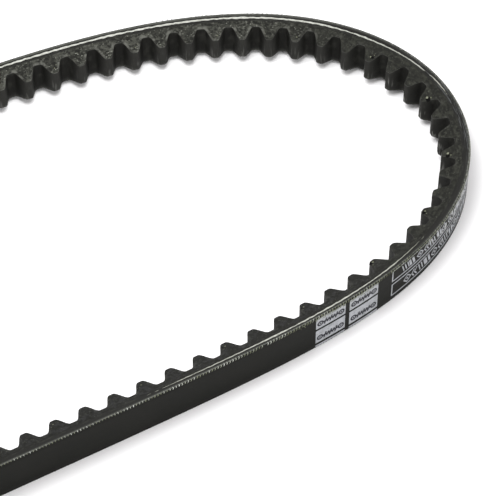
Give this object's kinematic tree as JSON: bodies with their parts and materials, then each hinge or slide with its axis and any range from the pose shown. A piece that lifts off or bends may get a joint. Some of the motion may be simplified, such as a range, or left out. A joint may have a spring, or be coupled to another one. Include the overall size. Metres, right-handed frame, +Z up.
{
  "type": "v belt",
  "caption": "Endless raw-edge cogged V-belt lying on its side: canvas back, tension cord ply, cushion gum and a cogged undercord, flexing at its notches.",
  "frame": {"origin": "centre of the loop on the plane that the belt lies on, level with the lower edge of its back", "axes": "+X along the loop's length towards the sharper seen bend, +Y across the loop to the far run, +Z up, across the belt's 13 mm width"},
  "size_m": [0.445, 0.1294, 0.013],
  "materials": {
    "back_canvas": "dark rubberised canvas, satin",
    "cord_ply": "off-white wound polyester cord in gum, matte",
    "cushion_gum": "soft black gum, matte",
    "cogged_undercord": "fibre-loaded charcoal rubber, cut flanks and moulded cogs, matte"
  },
  "bodies": {
    "right_bend": {"back_canvas_right_bend": "back_canvas", "cord_ply_right_bend": "cord_ply", "cushion_gum_right_bend": "cushion_gum", "cogged_undercord_right_bend": "cogged_undercord"},
    "near_right_side": {"back_canvas_near_right_side": "back_canvas", "cord_ply_near_right_side": "cord_ply", "cushion_gum_near_right_side": "cushion_gum", "cogged_undercord_near_right_side": "cogged_undercord"},
    "near_right_lead": {"back_canvas_near_right_lead": "back_canvas", "cord_ply_near_right_lead": "cord_ply", "cushion_gum_near_right_lead": "cushion_gum", "cogged_undercord_near_right_lead": "cogged_undercord"},
    "near_run": {"back_canvas_near_run": "back_canvas", "cord_ply_near_run": "cord_ply", "cushion_gum_near_run": "cushion_gum", "cogged_undercord_near_run": "cogged_undercord"},
    "near_left_lead": {"back_canvas_near_left_lead": "back_canvas", "cord_ply_near_left_lead": "cord_ply", "cushion_gum_near_left_lead": "cushion_gum", "cogged_undercord_near_left_lead": "cogged_undercord"},
    "near_left_side": {"back_canvas_near_left_side": "back_canvas", "cord_ply_near_left_side": "cord_ply", "cushion_gum_near_left_side": "cushion_gum", "cogged_undercord_near_left_side": "cogged_undercord"},
    "left_bend_near": {"back_canvas_left_bend_near": "back_canvas", "cord_ply_left_bend_near": "cord_ply", "cushion_gum_left_bend_near": "cushion_gum", "cogged_undercord_left_bend_near": "cogged_undercord"},
    "far_right_side": {"back_canvas_far_right_side": "back_canvas", "cord_ply_far_right_side": "cord_ply", "cushion_gum_far_right_side": "cushion_gum", "cogged_undercord_far_right_side": "cogged_undercord"},
    "far_right_lead": {"back_canvas_far_right_lead": "back_canvas", "cord_ply_far_right_lead": "cord_ply", "cushion_gum_far_right_lead": "cushion_gum", "cogged_undercord_far_right_lead": "cogged_undercord"},
    "far_run": {"back_canvas_far_run": "back_canvas", "cord_ply_far_run": "cord_ply", "cushion_gum_far_run": "cushion_gum", "cogged_undercord_far_run": "cogged_undercord"},
    "far_left_lead": {"back_canvas_far_left_lead": "back_canvas", "cord_ply_far_left_lead": "cord_ply", "cushion_gum_far_left_lead": "cushion_gum", "cogged_undercord_far_left_lead": "cogged_undercord"},
    "far_left_side": {"back_canvas_far_left_side": "back_canvas", "cord_ply_far_left_side": "cord_ply", "cushion_gum_far_left_side": "cushion_gum", "cogged_undercord_far_left_side": "cogged_undercord"},
    "left_bend_far": {"back_canvas_left_bend_far": "back_canvas", "cord_ply_left_bend_far": "cord_ply", "cushion_gum_left_bend_far": "cushion_gum", "cogged_undercord_left_bend_far": "cogged_undercord"}
  },
  "joints": [
    {"name": "near_right_side_flex", "type": "hinge", "parent": "right_bend", "child": "near_right_side", "pos_m": [0.20028, -0.04626, 0.0065], "axis": [0, 0, 1], "range_deg": [-8, 8], "stiffness_Nm_per_rad": 1.5},
    {"name": "near_right_lead_flex", "type": "hinge", "parent": "near_right_side", "child": "near_right_lead", "pos_m": [0.16104, -0.06018, 0.0065], "axis": [0, 0, 1], "range_deg": [-8, 8], "stiffness_Nm_per_rad": 1.5},
    {"name": "near_run_flex", "type": "hinge", "parent": "near_right_lead", "child": "near_run", "pos_m": [0.11077, -0.06327, 0.0065], "axis": [0, 0, 1], "range_deg": [-8, 8]},
    {"name": "near_left_lead_flex", "type": "hinge", "parent": "near_run", "child": "near_left_lead", "pos_m": [-0.14928, -0.05705, 0.0065], "axis": [0, 0, 1], "range_deg": [-8, 8]},
    {"name": "near_left_side_flex", "type": "hinge", "parent": "near_left_lead", "child": "near_left_side", "pos_m": [-0.19571, -0.03846, 0.0065], "axis": [0, 0, 1], "range_deg": [-8, 8]},
    {"name": "left_bend_near_flex", "type": "hinge", "parent": "near_left_side", "child": "left_bend_near", "pos_m": [-0.21991, -0.00514, 0.0065], "axis": [0, 0, 1], "range_deg": [-8, 8]},
    {"name": "far_right_side_flex", "type": "hinge", "parent": "right_bend", "child": "far_right_side", "pos_m": [0.21991, 0.00514, 0.0065], "axis": [0, 0, 1], "range_deg": [-8, 8]},
    {"name": "far_right_lead_flex", "type": "hinge", "parent": "far_right_side", "child": "far_right_lead", "pos_m": [0.19571, 0.03846, 0.0065], "axis": [0, 0, 1], "range_deg": [-8, 8]},
    {"name": "far_run_flex", "type": "hinge", "parent": "far_right_lead", "child": "far_run", "pos_m": [0.14928, 0.05705, 0.0065], "axis": [0, 0, 1], "range_deg": [-8, 8]},
    {"name": "far_left_lead_flex", "type": "hinge", "parent": "far_run", "child": "far_left_lead", "pos_m": [-0.11077, 0.06327, 0.0065], "axis": [0, 0, 1], "range_deg": [-8, 8]},
    {"name": "far_left_side_flex", "type": "hinge", "parent": "far_left_lead", "child": "far_left_side", "pos_m": [-0.16104, 0.06018, 0.0065], "axis": [0, 0, 1], "range_deg": [-8, 8]},
    {"name": "left_bend_far_flex", "type": "hinge", "parent": "far_left_side", "child": "left_bend_far", "pos_m": [-0.20028, 0.04626, 0.0065], "axis": [0, 0, 1], "range_deg": [-8, 8]}
  ],
  "couplings": [
    {"joint": "near_run_flex", "follows": "near_right_side_flex", "ratio": -1},
    {"joint": "near_left_lead_flex", "follows": "near_right_side_flex", "ratio": -1},
    {"joint": "left_bend_near_flex", "follows": "near_right_side_flex", "ratio": 1},
    {"joint": "far_right_side_flex", "follows": "near_right_side_flex", "ratio": -1},
    {"joint": "far_run_flex", "follows": "near_right_side_flex", "ratio": 1},
    {"joint": "far_left_lead_flex", "follows": "near_right_side_flex", "ratio": 1},
    {"joint": "left_bend_far_flex", "follows": "near_right_side_flex", "ratio": -1},
    {"joint": "near_left_side_flex", "follows": "near_right_lead_flex", "ratio": -1},
    {"joint": "far_right_lead_flex", "follows": "near_right_lead_flex", "ratio": 1},
    {"joint": "far_left_side_flex", "follows": "near_right_lead_flex", "ratio": -1}
  ]
}
